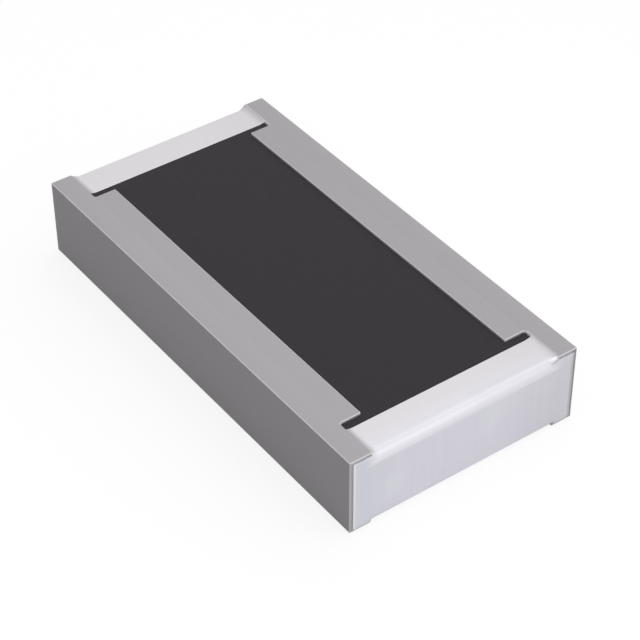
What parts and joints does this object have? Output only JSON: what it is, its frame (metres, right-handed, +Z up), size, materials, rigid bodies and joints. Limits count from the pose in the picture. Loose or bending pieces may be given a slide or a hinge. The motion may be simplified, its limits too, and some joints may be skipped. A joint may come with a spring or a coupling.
{
  "type": "smd chip resistor",
  "caption": "Flat ceramic chip resistor with a black coated tray between two ceramic rails and a silver termination wrapped round each end.",
  "frame": {"origin": "middle of the part, on the plane of the two solder lands that it stands on", "axes": "+X along the length from the left termination to the right one, +Z up through the black coat, +Y across to complete a right-handed frame"},
  "size_m": [0.0032, 0.0016, 0.0005],
  "materials": {
    "grey_ceramic": "matte",
    "black_overcoat": "satin",
    "glass_coat": "gloss",
    "resistor_print": "matte",
    "silver_print": "satin",
    "side_film": "satin",
    "nickel": "satin",
    "tin": "satin"
  },
  "bodies": {
    "root": {"ceramic_substrate": "grey_ceramic", "overcoat": "black_overcoat", "glass_coat": "glass_coat", "resistive_film": "resistor_print", "top_contact_left": "silver_print", "top_contact_right": "silver_print", "back_contact_left": "silver_print", "back_contact_right": "silver_print", "edge_film_left": "side_film", "edge_film_right": "side_film", "nickel_barrier_left": "nickel", "nickel_barrier_right": "nickel", "tin_plating_left": "tin", "tin_plating_right": "tin"}
  },
  "joints": []
}
